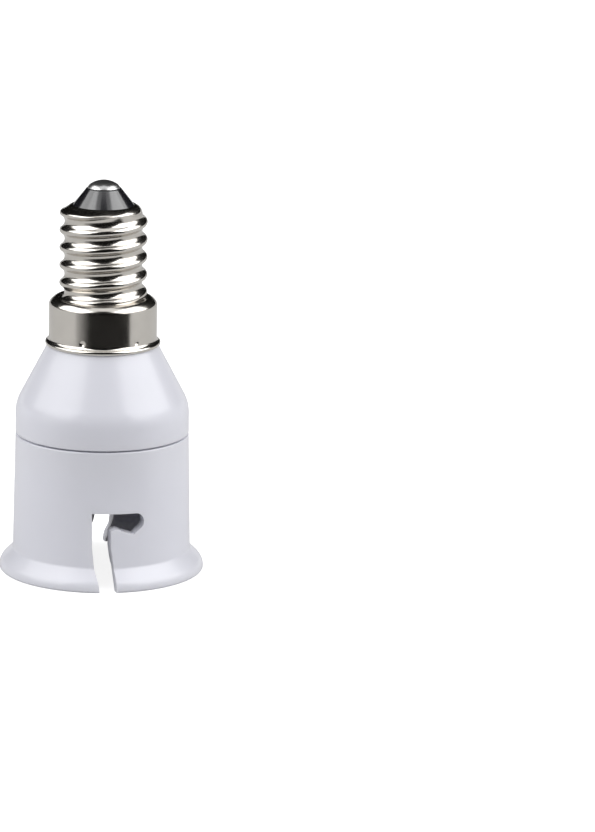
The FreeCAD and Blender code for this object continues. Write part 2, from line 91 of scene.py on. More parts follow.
class Wire:
    """One output of a shader node, with arithmetic that adds Math nodes."""

    def __init__(self, sheet: "NodeSheet", socket: bpy.types.NodeSocket) -> None:
        """Wrap a socket.

        Args:
            sheet: the node tree that the socket belongs to
            socket: the output socket
        """
        self.sheet = sheet
        self.socket = socket

    def maths(self, operation: str, first: "Wire | float", second: "Wire | float") -> "Wire":
        """Add a Math node.

        Args:
            operation: Blender's name of the operation
            first: the first value
            second: the second value

        Returns:
            The result.
        """
        return self.sheet.add("ShaderNodeMath", {"operation": operation}, {0: first, 1: second})

    def __add__(self, other: "Wire | float") -> "Wire":
        """Sum."""
        return self.maths("ADD", self, other)

    def __radd__(self, other: "Wire | float") -> "Wire":
        """Sum, reflected."""
        return self.maths("ADD", other, self)

    def __sub__(self, other: "Wire | float") -> "Wire":
        """Difference."""
        return self.maths("SUBTRACT", self, other)

    def __rsub__(self, other: "Wire | float") -> "Wire":
        """Difference, reflected."""
        return self.maths("SUBTRACT", other, self)

    def __mul__(self, other: "Wire | float") -> "Wire":
        """Product."""
        return self.maths("MULTIPLY", self, other)

    def __rmul__(self, other: "Wire | float") -> "Wire":
        """Product, reflected."""
        return self.maths("MULTIPLY", other, self)

    def clamp(self) -> "Wire":
        """Hold the value between 0 and 1."""
        return self.sheet.add("ShaderNodeClamp", {}, {"Value": self})

    def between(self, low: float, high: float) -> "Wire":
        """Rise smoothly from 0 at the low value to 1 at the high one."""
        settings = {"interpolation_type": "SMOOTHSTEP"}
        return self.sheet.add("ShaderNodeMapRange", settings, {0: self, 1: low, 2: high})


class NodeSheet:
    """A node tree with one way to add every kind of node."""

    def __init__(self, tree: bpy.types.NodeTree) -> None:
        """Start with an empty tree."""
        self.tree = tree
        tree.nodes.clear()

    def add(
        self,
        kind: str,
        settings: Mapping[str, object] | None = None,
        inputs: Mapping[str | int, object] | None = None,
        output: str | int = 0,
    ) -> Wire:
        """Add a node.

        Args:
            kind: the node's type
            settings: its properties, set first
            inputs: values or wires by the socket's name or number
            output: the socket to return

        Returns:
            The chosen output.
        """
        node = self.tree.nodes.new(kind)
        for name, value in (settings or {}).items():
            setattr(node, name, value)
        for key, value in (inputs or {}).items():
            if isinstance(value, Wire):
                self.tree.links.new(value.socket, node.inputs[key])
            else:
                node.inputs[key].default_value = value
        return Wire(self, node.outputs[output] if node.outputs else None)

    def place(self) -> Wire:
        """The surface point in the adapter's frame, in millimetres."""
        point = self.add("ShaderNodeTexCoord", output="Object")
        return self.add("ShaderNodeVectorMath", {"operation": "SCALE"}, {0: point, "Scale": 1.0 / MM})

    def stretched(self, vector: Wire, factors: Triple) -> Wire:
        """A vector with each axis scaled by its own factor."""
        return self.add("ShaderNodeVectorMath", {"operation": "MULTIPLY"}, {0: vector, 1: factors})

    def noise(self, vector: Wire, scale: float, detail: float) -> Wire:
        """Noise from 0 to 1, with about that many blobs per millimetre of the vector."""
        inputs = {"Vector": vector, "Scale": scale, "Detail": detail}
        return self.add("ShaderNodeTexNoise", {}, inputs, "Fac")

    def blend(self, share: Wire | float, first: Colour | Wire, second: Colour | Wire) -> Wire:
        """Mix two colours."""
        inputs = {0: share, 6: first, 7: second}
        return self.add("ShaderNodeMix", {"data_type": "RGBA"}, inputs, 2)

    def bump(self, height: Wire, depth: float = 1.0) -> Wire:
        """A normal from a height, and what a height of 1 stands for in millimetres."""
        return self.add("ShaderNodeBump", {}, {"Height": height, "Strength": 1.0, "Distance": depth * MM})

    def ray(self, kind: str) -> Wire:
        """1 for light paths of one kind, such as "Is Camera Ray", and 0 for the rest."""
        return self.add("ShaderNodeLightPath", output=kind)

    def surface(self, values: Mapping[str, object]) -> None:
        """End the sheet in a principled surface with these values and wires."""
        self.end(self.add("ShaderNodeBsdfPrincipled", {}, values))

    def end(self, shader: Wire, kind: str = "ShaderNodeOutputMaterial") -> None:
        """End the sheet in a shader."""
        self.add(kind, {}, {"Surface": shader})


def new_material(name: str) -> tuple[bpy.types.Material, NodeSheet]:
    """Make a material and an empty sheet for its nodes.

    Args:
        name: the material's name

    Returns:
        The material and its sheet.
    """
    material = bpy.data.materials.new(name)
    material.use_nodes = True
    return material, NodeSheet(material.node_tree)


# Finishes


def rgb(red: float, green: float, blue: float) -> Colour:
    """A colour in linear light."""
    return (red, green, blue, 1.0)


def grey(level: float) -> Colour:
    """A neutral colour in linear light."""
    return rgb(level, level, level)


@dataclass(frozen=True)
class Finish:
    """What all finishes share: a name, a slot of the record, a colour, a roughness and two shades.

    In all finishes, scales are in blobs per millimetre and depths in millimetres. A tint
    says how much a pattern counts in the colour, a gloss how much it adds to the roughness.
    """

    name: str
    slot: Slot
    colour: Colour
    roughness: float
    shades: Pair = (1.0, 1.0)

    def material(self) -> bpy.types.Material:
        """Make the finish's material, or find it if it is there already.

        Returns:
            The material.
        """
        material = bpy.data.materials.get(self.name)
        if not material:
            material, sheet = new_material(self.name)
            self.dress(sheet)
        return material

    def dress(self, sheet: NodeSheet) -> None:
        """Lay out the finish's nodes; each finish has its own.

        Args:
            sheet: the empty sheet of the material
        """
        raise NotImplementedError

    def tinted(self, shade: float) -> Colour:
        """The finish's colour made darker (below 1) or lighter (above 1)."""
        red, green, blue, alpha = self.colour
        return (red * shade, green * shade, blue * shade, alpha)

    def shaded(self, sheet: NodeSheet, share: Wire) -> Wire:
        """The colour, from its first shade where the share is 0 to its second where it is 1."""
        return sheet.blend(share, *(self.tinted(shade) for shade in self.shades))


@dataclass(frozen=True)
class MouldedPlastic(Finish):
    """Glossy moulded plastic, a little translucent, with a faint ripple and a fine grain."""

    shades: Pair = (0.975, 1.02)
    index: float = 1.49
    coat: float = 0.2
    coat_roughness: float = 0.12
    coat_index: float = 1.5
    glow: float = 0.3
    glow_depth: float = 2.0
    cloud_scale: float = 0.12
    ripple_depth: float = 0.004
    grain_scale: float = 9.0
    grain_depth: float = 0.0006
    grain_gloss: float = 0.06

    def dress(self, sheet: NodeSheet) -> None:
        """Vary colour and gloss a little, and ripple the surface.

        Args:
            sheet: the empty sheet of the material
        """
        place = sheet.place()
        cloud = sheet.noise(place, self.cloud_scale, detail=2.0)
        grain = sheet.noise(place, self.grain_scale, detail=2.0)
        sheet.surface(
            {
                "Base Color": self.shaded(sheet, cloud),
                "Roughness": self.roughness + grain * self.grain_gloss,
                "Normal": sheet.bump(cloud * self.ripple_depth + grain * self.grain_depth),
                "IOR": self.index,
                "Coat Weight": self.coat,
                "Coat Roughness": self.coat_roughness,
                "Coat IOR": self.coat_index,
                "Subsurface Weight": self.glow,
                "Subsurface Radius": (1.0, 1.0, 1.0),
                "Subsurface Scale": self.glow_depth * MM,
            }
        )


@dataclass(frozen=True)
class PlatedMetal(Finish):
    """Bright plating over drawn sheet, with spun rings, dull clouds and fine handling marks."""

    shades: Pair = (1.04, 0.86)
    ring_scales: Triple = (0.05, 0.05, 6.0)
    ring_depth: float = 0.0025
    dent_scale: float = 0.5
    dent_depth: float = 0.02
    cloud_scale: float = 0.35
    cloud_tint: float = 0.8
    cloud_gloss: float = 0.08
    speck_scale: float = 7.0
    speck_edges: Pair = (0.6, 0.75)
    speck_tint: float = 0.1
    speck_gloss: float = 0.02

    def dress(self, sheet: NodeSheet) -> None:
        """Ring the metal round its axis and cloud its gloss.

        Args:
            sheet: the empty sheet of the material
        """
        place = sheet.place()
        rings = sheet.noise(sheet.stretched(place, self.ring_scales), 1.0, detail=3.0)
        cloud = sheet.noise(place, self.cloud_scale, detail=3.0)
        dents = sheet.noise(place, self.dent_scale, detail=1.0)
        specks = sheet.noise(place, self.speck_scale, detail=2.0).between(*self.speck_edges)
        sheet.surface(
            {
                "Base Color": self.shaded(sheet, cloud * self.cloud_tint + specks * self.speck_tint),
                "Metallic": 1.0,
                "Roughness": self.roughness + cloud * self.cloud_gloss + specks * self.speck_gloss,
                "Normal": sheet.bump(rings * self.ring_depth + dents * self.dent_depth),
            }
        )


@dataclass(frozen=True)
class TurnedMetal(Finish):
    """Turned brass or drawn wire with tool rings and a slight tarnish."""

    shades: Pair = (1.0, 0.6)
    ring_scales: Triple = (0.2, 0.2, 9.0)
    ring_depth: float = 0.004
    ring_gloss: float = 0.05
    tarnish_scale: float = 0.8
    tarnish_edges: Pair = (0.45, 0.75)
    tarnish_tint: float = 0.6
    tarnish_gloss: float = 0.15

    def dress(self, sheet: NodeSheet) -> None:
        """Tool rings and tarnish clouds.

        Args:
            sheet: the empty sheet of the material
        """
        place = sheet.place()
        rings = sheet.noise(sheet.stretched(place, self.ring_scales), 1.0, detail=2.0)
        tarnish = sheet.noise(place, self.tarnish_scale, detail=4.0).between(*self.tarnish_edges)
        sheet.surface(
            {
                "Base Color": self.shaded(sheet, tarnish * self.tarnish_tint),
                "Metallic": 1.0,
                "Roughness": self.roughness + tarnish * self.tarnish_gloss + rings * self.ring_gloss,
                "Normal": sheet.bump(rings, self.ring_depth),
            }
        )


@dataclass(frozen=True)
class WireInsulation(Finish):
    """Soft, matt insulation of a lead."""

    shades: Pair = (0.9, 1.05)
    grain_scale: float = 5.0
    grain_depth: float = 0.006
    grain_gloss: float = 0.1

    def dress(self, sheet: NodeSheet) -> None:
        """Grain it finely.

        Args:
            sheet: the empty sheet of the material
        """
        grain = sheet.noise(sheet.place(), self.grain_scale, detail=3.0)
        sheet.surface(
            {
                "Base Color": self.shaded(sheet, grain),
                "Roughness": self.roughness + grain * self.grain_gloss,
                "Normal": sheet.bump(grain, self.grain_depth),
            }
        )


WHITE_GLOSS = MouldedPlastic("white_gloss_moulding", Slot.WHITE, rgb(0.795, 0.80, 0.87), 0.26)
INNER_SATIN = MouldedPlastic("inner_satin_moulding", Slot.INNER, rgb(0.72, 0.72, 0.70), 0.4, coat=0.1)
BLACK_GLOSS = MouldedPlastic(
    "black_gloss_moulding",
    Slot.BLACK,
    rgb(0.010, 0.010, 0.013),
    0.17,
    coat=0.7,
    coat_roughness=0.13,
    coat_index=1.85,
    glow=0.0,
)
NICKEL = PlatedMetal("nickel_plated_sheet", Slot.NICKEL, rgb(0.68, 0.65, 0.605), 0.14)
TIP_NICKEL = PlatedMetal(
    "nickel_plated_tip", Slot.NICKEL, grey(0.60), 0.26, ring_depth=0.002, dent_depth=0.03
)
BRASS = TurnedMetal("turned_brass", Slot.BRASS, rgb(0.73, 0.55, 0.26), 0.2)
STEEL_WIRE = TurnedMetal("drawn_spring_wire", Slot.SPRING, grey(0.50), 0.25)
SOLDER = PlatedMetal(
    "soft_solder", Slot.SOLDER, rgb(0.62, 0.62, 0.63), 0.24, ring_depth=0.0, dent_depth=0.06
)
INSULATION = WireInsulation("lead_insulation", Slot.LEAD, rgb(0.70, 0.66, 0.58), 0.55)


# Shapes


class Outline:
    """A path of straight runs and arcs, sampled as (across, up) points in millimetres."""

    def __init__(self, *points: Point) -> None:
        """Start at a point, and run straight through any others."""
        self.points: list[Point] = list(points)

    def line(self, *ends: Point) -> "Outline":
        """Run straight to each end in turn."""
        self.points.extend(ends)
        return self

    def stairs(self, *places: float) -> "Outline":
        """Run level and upright by turns, to each radius and height given.

        Args:
            places: a radius, a height, a radius and so on

        Returns:
            The outline itself.
        """
        for index, place in enumerate(places):
            across, up = self.points[-1]
            self.points.append((across, place) if index % 2 else (place, up))
        return self

    def arc(self, end: Point, radius: float, side: int) -> "Outline":
        """Run round the short arc to an end.

        Args:
            end: where the arc ends
            radius: its radius
            side: +1 for a centre to the left of the way, -1 to the right

        Returns:
            The outline itself.
        """
        start, finish = Vector(self.points[-1]), Vector(end)
        chord = finish - start
        half = chord.length / 2.0
        left = Vector((-chord.y, chord.x)).normalized()
        centre = (start + finish) / 2.0 + left * (math.sqrt(max(radius**2 - half**2, 0.0)) * side)
        first = math.atan2(start.y - centre.y, start.x - centre.x)
        sweep = 2.0 * math.asin(min(half / radius, 1.0)) * side
        count = max(2, math.ceil(abs(sweep) / ARC_STEP))
        for index in range(1, count):
            angle = first + sweep * index / count
            self.points.append((centre.x + radius * math.cos(angle), centre.y + radius * math.sin(angle)))
        self.points.append(end)
        return self

    def rounded(self, corner: Point, end: Point, radius: float) -> "Outline":
        """Run towards a corner, round it with a tangent arc, and stop at the arc's end.

        Args:
            corner: the sharp corner
            end: where the way goes after the corner
            radius: the arc's radius

        Returns:
            The outline itself.
        """
        start, middle, finish = Vector(self.points[-1]), Vector(corner), Vector(end)
        back, ahead = (start - middle).normalized(), (finish - middle).normalized()
        reach = radius / math.tan(back.angle(ahead) / 2.0)
        turn = -back.x * ahead.y + back.y * ahead.x
        self.line(tuple(middle + back * reach))
        return self.arc(tuple(middle + ahead * reach), radius, 1 if turn > 0 else -1)


def ease(share: float) -> float:
    """Smooth step from 0 at 0 to 1 at 1."""
    share = min(max(share, 0.0), 1.0)
    return share * share * (3.0 - 2.0 * share)


def polar(radius: float, angle: float, height: float) -> Vector:
    """The point at a radius, an angle in radians from +X and a height."""
    return Vector((radius * math.cos(angle), radius * math.sin(angle), height))


def link(name: str, data: bpy.types.ID) -> bpy.types.Object:
    """Make an object of some data and link it to the scene.

    Args:
        name: its name
        data: its mesh, lamp or camera

    Returns:
        The new object.
    """
    thing = bpy.data.objects.new(name, data)
    bpy.context.scene.collection.objects.link(thing)
    return thing


def make_object(
    name: str, vertices: Sequence[Vector], faces: Sequence[Sequence[int]], crease: float = CREASE
) -> bpy.types.Object:
    """Make a mesh object from points in millimetres.

    Args:
        name: the piece's name
        vertices: its points
        faces: its faces, as numbers of points
        crease: the angle in degrees from which an edge stays sharp

    Returns:
        The new object, linked to the scene.
    """
    mesh = bpy.data.meshes.new(name)
    mesh.from_pydata([point * MM for point in vertices], [], faces)
    mesh.update()
    piece = link(name, mesh)
    smooth(piece, crease)
    return piece


def smooth(piece: bpy.types.Object, crease: float) -> None:
    """Shade a piece smooth, but for edges that turn by more than an angle in degrees."""
    piece.data.shade_smooth()
    piece.data.set_sharp_from_angle(angle=math.radians(crease))


def ring_faces(rings: int, columns: int, closed: bool) -> list[tuple[int, ...]]:
    """Join rings of points by four-sided faces.

    Args:
        rings: how many rings
        columns: how many points to a ring
        closed: whether the last ring joins the first

    Returns:
        The faces, as numbers of points.
    """
    faces = []
    for ring in range(rings if closed else rings - 1):
        here, above = ring * columns, (ring + 1) % rings * columns
        for column in range(columns):
            beside = (column + 1) % columns
            faces.append((here + column, here + beside, above + beside, above + column))
    return faces


def end_faces(columns: int, last: int) -> list[tuple[int, ...]]:
    """The faces that close the first ring and the last, which starts at the point of that number."""
    return [tuple(reversed(range(columns))), tuple(range(last, last + columns))]


def turned(name: str, outline: Outline, columns: int = 96, centre: Point = (0.0, 0.0)) -> bpy.types.Object:
    """Turn an outline about an upright line.

    Args:
        name: the piece's name
        outline: the section, counter-clockwise, closed unless it starts and ends on the line
        columns: how many steps round the line
        centre: where the line stands

    Returns:
        The new object.
    """
    points = outline.points
    solid = points[0][0] == 0.0 and points[-1][0] == 0.0
    rings = points[1:-1] if solid else points
    base = Vector((*centre, 0.0))
    angles = [FULL_TURN * column / columns for column in range(columns)]
    vertices = [base + polar(radius, angle, height) for radius, height in rings for angle in angles]
    faces = ring_faces(len(rings), columns, closed=not solid)
    if solid:
        low, high = len(vertices), len(vertices) + 1
        last = len(vertices) - columns
        vertices.extend(base + Vector((0.0, 0.0, pole[1])) for pole in (points[0], points[-1]))
        beside = [(column + 1) % columns for column in range(columns)]
        faces.extend((beside[column], column, low) for column in range(columns))
        faces.extend((last + column, last + beside[column], high) for column in range(columns))
    return make_object(name, vertices, faces)


def tube(name: str, path: Sequence[Vector], radii: Sequence[float], sides: int) -> bpy.types.Object:
    """Draw a round wire along a path, with closed ends.

    Args:
        name: the piece's name
        path: the points of its middle line, in millimetres
        radii: its radius at each point
        sides: how many points to a ring

    Returns:
        The new object.
    """
    across = Vector((0.0, 0.0, 1.0)).cross(path[1] - path[0])
    if across.length < SHORT:
        across = Vector((1.0, 0.0, 0.0))
    vertices = []
    for index, (point, radius) in enumerate(zip(path, radii)):
        way = (path[min(index + 1, len(path) - 1)] - path[max(index - 1, 0)]).normalized()
        across = (across - way * across.dot(way)).normalized()
        up = way.cross(across)
        for side in range(sides):
            angle = FULL_TURN * side / sides
            vertices.append(point + (across * math.cos(angle) + up * math.sin(angle)) * radius)
    faces = ring_faces(len(path), sides, closed=False) + end_faces(sides, len(vertices) - sides)
    return make_object(name, vertices, faces, WIRE_CREASE)


def prism(name: str, outline: Outline, turn: float, depth: float) -> bpy.types.Object:
    """Raise an upright outline along the direction that it faces.

    Args:
        name: the piece's name
        outline: the face, counter-clockwise as seen from where it faces
        turn: how far it is turned from the front, in degrees
        depth: how far it reaches from the upright axis, in millimetres

    Returns:
        The new object.
    """
    angle = math.radians(turn)
    across = Vector((math.cos(angle), math.sin(angle), 0.0))
    ahead = Vector((math.sin(angle), -math.cos(angle), 0.0))
    count = len(outline.points)
    ends = [across * x + Vector((0.0, 0.0, z)) + ahead * y for y in (0.0, depth) for x, z in outline.points]
    return make_object(name, ends, end_faces(count, count) + ring_faces(2, count, closed=False))


def carve(piece: bpy.types.Object, cutters: Sequence[bpy.types.Object]) -> None:
    """Cut tools out of a piece and throw the tools away.

    Args:
        piece: the piece, which is shaded anew
        cutters: the tools
    """
    for cutter in cutters:
        cut = piece.modifiers.new("cut", "BOOLEAN")
        cut.object = cutter
        cut.operation = "DIFFERENCE"
        cut.solver = "EXACT"
    bpy.context.view_layer.update()
    graph = bpy.context.evaluated_depsgraph_get()
    mesh = bpy.data.meshes.new_from_object(piece.evaluated_get(graph))
    piece.modifiers.clear()
    piece.data = mesh
    for cutter in cutters:
        bpy.data.objects.remove(cutter)
    smooth(piece, CREASE)


def finish_piece(piece: bpy.types.Object, finish: Finish, node: str, body: Body = Body.HOUSING) -> None:
    """Give a new piece its finish and its body, and let it stand for a CAD node.

    Args:
        piece: the new piece
        finish: its finish
        node: the CAD node that it replaces
        body: the body that it moves with
    """
    piece.data.materials.clear()
    piece.data.materials.append(finish.material())
    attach(piece, body.value)
    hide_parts(node)
    log.info("%s: %d faces, %s", piece.name, len(piece.data.polygons), finish.name)


def dress_node(node: str, finish: Finish) -> None:
    """Give a CAD node that stays as it is its finish.

    Args:
        node: the node's name
        finish: its finish
    """
    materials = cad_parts[node].data.materials
    if materials:
        materials[0] = finish.material()
    else:
        materials.append(finish.material())
    log.info("%s: CAD shape, %s", node, finish.name)


# Casing


@dataclass
class Casing:
    """The two white mouldings: the socket barrel with its slots, and the cone-shaped cover."""

    mouth_radius: float = 16.3
    rim_round: float = 0.4
    rim_wall: float = 1.7
    lip_hollow: float = 0.6
    lip_crown: float = 2.2
    barrel_foot_radius: float = 14.15
    barrel_top_radius: float = 13.78
    barrel_height: float = 22.1
    socket_radius: float = 11.85
    socket_foot: float = 5.4
    socket_top: float = 13.1
    throat_radius: float = 11.55
    socket_depth: float = 17.9
    seat_radius: float = 12.6
    seam_round: float = 0.2
    slot_turn: float = 15.0
    slot_left: float = 5.04
    slot_width: float = 2.9
    slot_top: float = 12.2
    slot_tilt: float = 0.1
    slot_run: float = 8.3
    slot_foot: float = 9.75
    slot_bend: float = 6.8
    slot_lead: float = 0.67
    slot_spread: float = 0.4
    hook_round: float = 1.4
    notch_depth: float = 0.95
    notch_place: float = 6.6
    hump_width: float = 1.75
    hump_drop: float = 0.32
    hump_round: float = 1.3
    cover_foot: float = 22.35
    carrier_top: float = 20.1
    spigot_gap: float = 0.1
    cone_foot: float = 27.0
    cone_round: float = 6.0
    cone_top: float = 36.55
    cone_top_radius: float = 8.75
    cover_bore: float = 11.48
    neck_radius: float = 8.1
    neck_bore: float = 6.3
    neck_step: float = 40.8
    neck_top: float = 42.6
    stem_radius: float = 5.695
    stem_bore: float = 4.2
    stem_top: float = 57.6
    columns: int = 256

    @property
    def lip_slope(self) -> float:
        """How far the straight 45-degree stretch of the lip runs out, and up."""
        flare = self.mouth_radius - self.barrel_foot_radius
        return flare - (self.lip_hollow + self.lip_crown) * (1.0 - CORNER)

    @property
    def lip_height(self) -> float:
        """Where the lip meets the barrel."""
        return self.rim_round + self.lip_slope + (self.lip_crown + self.lip_hollow) * CORNER

    def build(self) -> None:
        """Build and dress both mouldings."""
        barrel = turned("socket_barrel", self.barrel_outline(), self.columns)
        depth = self.mouth_radius + self.rim_round
        turns = (self.slot_turn, self.slot_turn + 180.0)
        carve(barrel, [prism("slot", self.slot_outline(), turn, depth) for turn in turns])
        finish_piece(barrel, WHITE_GLOSS, "lower_housing")
        cover = turned("cone_cover", self.cover_outline(), self.columns)
        finish_piece(cover, WHITE_GLOSS, "upper_housing")

    def barrel_outline(self) -> Outline:
        """Section of the socket barrel, from inside the rim round the outside.

        Returns:
            The outline.
        """
        funnel = self.mouth_radius - self.rim_wall
        hollow = self.lip_hollow + self.rim_wall
        crown_radius = self.mouth_radius - self.lip_crown * (1.0 - CORNER)
        crown_height = self.rim_round + self.lip_crown * CORNER
        outline = Outline((funnel + self.rim_round, 0.0), (self.mouth_radius - self.rim_round, 0.0))
        outline.arc((self.mouth_radius, self.rim_round), self.rim_round, 1)
        outline.arc((crown_radius, crown_height), self.lip_crown, 1)
        outline.line((crown_radius - self.lip_slope, crown_height + self.lip_slope))
        outline.arc((self.barrel_foot_radius, self.lip_height), self.lip_hollow, -1)
        top = (self.barrel_top_radius, self.barrel_height)
        outline.rounded(top, (self.seat_radius, self.barrel_height), self.seam_round)
        outline.stairs(self.seat_radius, self.socket_depth, self.throat_radius, self.socket_top)
        outline.stairs(self.socket_radius, self.socket_foot)
        lower = (self.socket_radius + hollow * (1.0 - CORNER), self.socket_foot - hollow * CORNER)
        outline.arc(lower, hollow, 1)
        outline.line((funnel, self.rim_round))
        outline.arc(outline.points[0], self.rim_round, 1)
        outline.points.pop()
        return outline

    def slot_outline(self) -> Outline:
        """Bayonet slot: up from the rim, along, over a hump and down into the pin's notch.

        Returns:
            The outline.
        """
        left = -self.slot_left
        end = left + self.slot_run
        right = left + self.slot_width
        hump = self.slot_foot - self.hump_drop
        spread = right + self.slot_spread
        outline = Outline((left + self.slot_lead, -self.rim_round), (spread, -self.rim_round))
        outline.line((spread, self.lip_height), (right, self.slot_bend), (right, hump))
        outline.arc((right + self.hump_width, hump), self.hump_round, -1)
        outline.line((left + self.notch_place, self.slot_foot - self.notch_depth))
        hook = (end - self.hook_round * (1.0 - CORNER), self.slot_top - self.hook_round * (1.0 + CORNER))
        outline.line(hook)
        outline.arc((end, self.slot_top - self.hook_round), self.hook_round, 1)
        outline.arc((end - self.hook_round, self.slot_top), self.hook_round, 1)
        return outline.line((left, self.slot_top + self.slot_tilt), (left, self.slot_bend))

    def cover_outline(self) -> Outline:
        """Section of the cover, from the spigot's foot round the outside to the neck.

        Returns:
            The outline.
        """
        slope = math.atan2(self.barrel_top_radius - self.cone_top_radius, self.cone_top - self.cone_foot)
        spigot = self.seat_radius - self.spigot_gap
        outline = Outline((self.cover_bore, self.carrier_top)).stairs(spigot, self.cover_foot)
        shoulder = (self.barrel_top_radius, self.cone_foot)
        outline.rounded((self.barrel_top_radius, self.cover_foot), shoulder, self.seam_round)
        outline.rounded(shoulder, (self.cone_top_radius, self.cone_top), self.cone_round)
        outline.line((self.cone_top_radius, self.cone_top))
        outline.stairs(self.neck_radius, self.neck_top, self.stem_radius, self.stem_top)
        inner_top = self.cone_foot + (self.cover_bore - self.neck_bore) / math.tan(slope)
        outline.stairs(self.stem_bore, self.neck_step, self.neck_bore, inner_top)
        return outline.line((self.cover_bore, self.cone_foot))


# Screw cap


@dataclass
class ScrewCap:
    """The rolled shell with its thread, the black insulator and the tip contact."""

    wall: float = 0.35
    foot: float = 36.55
    flange_radius: float = 9.13
    flange_edge: float = 0.7
    flange_flare: float = 0.6
    collar_radius: float = 8.55
    collar_top: float = 44.2
    collar_rounds: Triple = (0.8, 2.2, 0.9)
    collar_turns: tuple[float, float, float, float] = (0.0, 38.0, 62.0, 90.0)
    root_radius: float = 6.145
    root_fillet: float = 0.35
    thread_depth: float = 0.8
    crest_round: float = 0.6
    pitch: float = 2.822
    first_crest: float = 45.05
    thread_start: float = -0.72
    thread_end: float = 5.05
    run_in: float = 0.4
    run_out: float = 0.45
    brow_foot: float = 57.6
    brow_round: float = 1.6
    brow_fade: float = 0.9
    brow_clear: float = 0.1
    mouth_radius: float = 4.95
    top: float = 59.05
    crimp_count: int = 6
    crimp_turn: float = -112.0
    crimp_height: float = 38.2
    crimp_radius: float = 0.55
    crimp_depth: float = 0.2
    cone_top: float = 61.65
    cone_top_radius: float = 2.75
    cone_edge: float = 0.2
    plug_foot: float = 57.6
    plug_gap: float = 0.1
    plug_sink: float = 0.05
    button_radius: float = 2.68
    button_edge: float = 0.1
    button_waist: Point = (2.25, 62.2)
    button_top: float = 62.93
    button_dome: float = 3.9
    eyelet_radius: float = 1.15
    eyelet_bore: float = 0.6
    eyelet_foot: float = 56.4
    eyelet_top: float = 62.03
    eyelet_gap: float = 0.05
    columns: int = 300
    row_height: float = 0.14
    inner_multiple: float = 3.0

    def build(self) -> None:
        """Build and dress the shell, the insulator and the tip, and dress its solder."""
        self.build_shell()
        insulator = turned("insulator_cone", self.insulator_outline(), columns=128)
        finish_piece(insulator, BLACK_GLOSS, "tip_insulator")
        button = turned("tip_button", self.button_outline())
        finish_piece(button, TIP_NICKEL, "centre_contact")
        dress_node("tip_solder", SOLDER)

    def build_shell(self) -> None:
        """Wrap the shell's section round the axis, with the thread and crimps pressed in."""
        rows = self.shell_rows()
        angles = [FULL_TURN * column / self.columns for column in range(self.columns)]
        points = [self.shell_point(radius, angle, height) for radius, height in rows for angle in angles]
        shell = make_object("threaded_shell", points, ring_faces(len(rows), self.columns, closed=True))
        finish_piece(shell, NICKEL, "screw_shell")

    def shell_point(self, radius: float, angle: float, height: float) -> Vector:
        """Move a point of the plain section to where the formed shell has it.

        Args:
            radius: its radius in the plain section
            angle: where the point is round the axis, in radians from +X
            height: its height

        Returns:
            The moved point.
        """
        beyond = max(radius - self.root_radius, 0.0)
        rise = self.thread_rise(angle, height)
        radius += math.cbrt(beyond**3 + rise**3) - beyond - self.crimp_sink(angle, height)
        return polar(radius, angle, height)

    def shell_rows(self) -> list[Point]:
        """The shell's closed section: outside going up, then inside coming down.

        Returns:
            Its points.
        """
        root, top = self.root_radius, self.top
        bead = self.flange_edge / 2.0
        edge_top = self.foot + self.flange_edge
        outline = Outline((self.flange_radius - bead, self.foot))
        outline.arc((self.flange_radius, self.foot + bead), bead, 1)
        outline.arc((self.flange_radius - bead / 2.0, edge_top), bead, 1)
        outline.arc((self.collar_radius, edge_top + self.flange_flare), self.flange_flare, -1)
        shoulder = self.shoulder()
        outline.line(shoulder[0])
        for point, radius in zip(shoulder[1:], self.collar_rounds):
            outline.arc(point, radius, 1)
        outline.rounded((root, self.collar_top), (root, top), self.root_fillet)
        outline.line((root, self.brow_foot))
        outline.arc((self.mouth_radius, top), self.brow_round, 1)
        inner = self.wall
        inside = Outline((self.mouth_radius, top - inner), (root - inner, self.brow_foot))
        inside.line((root - inner, self.collar_top - inner), (shoulder[-1][0], self.collar_top - inner))
        inside.line((self.collar_radius - inner, shoulder[0][1]), (self.collar_radius - inner, self.foot))
        return self.subdivided(outline.points, 1.0) + self.subdivided(inside.points, self.inner_multiple)

    def shoulder(self) -> list[Point]:
        """Ends of the arcs that round the collar's top, tight at the wall and flatter above.

        Returns:
            The first arc's start and each arc's end.
        """
        turns = [math.radians(turn) for turn in self.collar_turns]
        steps = [
            (radius * (math.cos(first) - math.cos(last)), radius * (math.sin(last) - math.sin(first)))
            for radius, first, last in zip(self.collar_rounds, turns, turns[1:])
        ]
        points = [(self.collar_radius, self.collar_top - sum(rise for _, rise in steps))]
        for inward, rise in steps:
            points.append((points[-1][0] - inward, points[-1][1] + rise))
        return points

    def subdivided(self, points: Sequence[Point], multiple: float) -> list[Point]:
        """Split upright runs into rows that the thread and crimps can bend.

        Args:
            points: the section's points
            multiple: how many row heights a row may take

        Returns:
            The points with those between.
        """
        split = [points[0]]
        for start, end in zip(points, points[1:]):
            steps = max(1, math.ceil(abs(end[1] - start[1]) / (self.row_height * multiple)))
            for index in range(1, steps + 1):
                part = index / steps
                split.append((start[0] + (end[0] - start[0]) * part, start[1] + (end[1] - start[1]) * part))
        return split

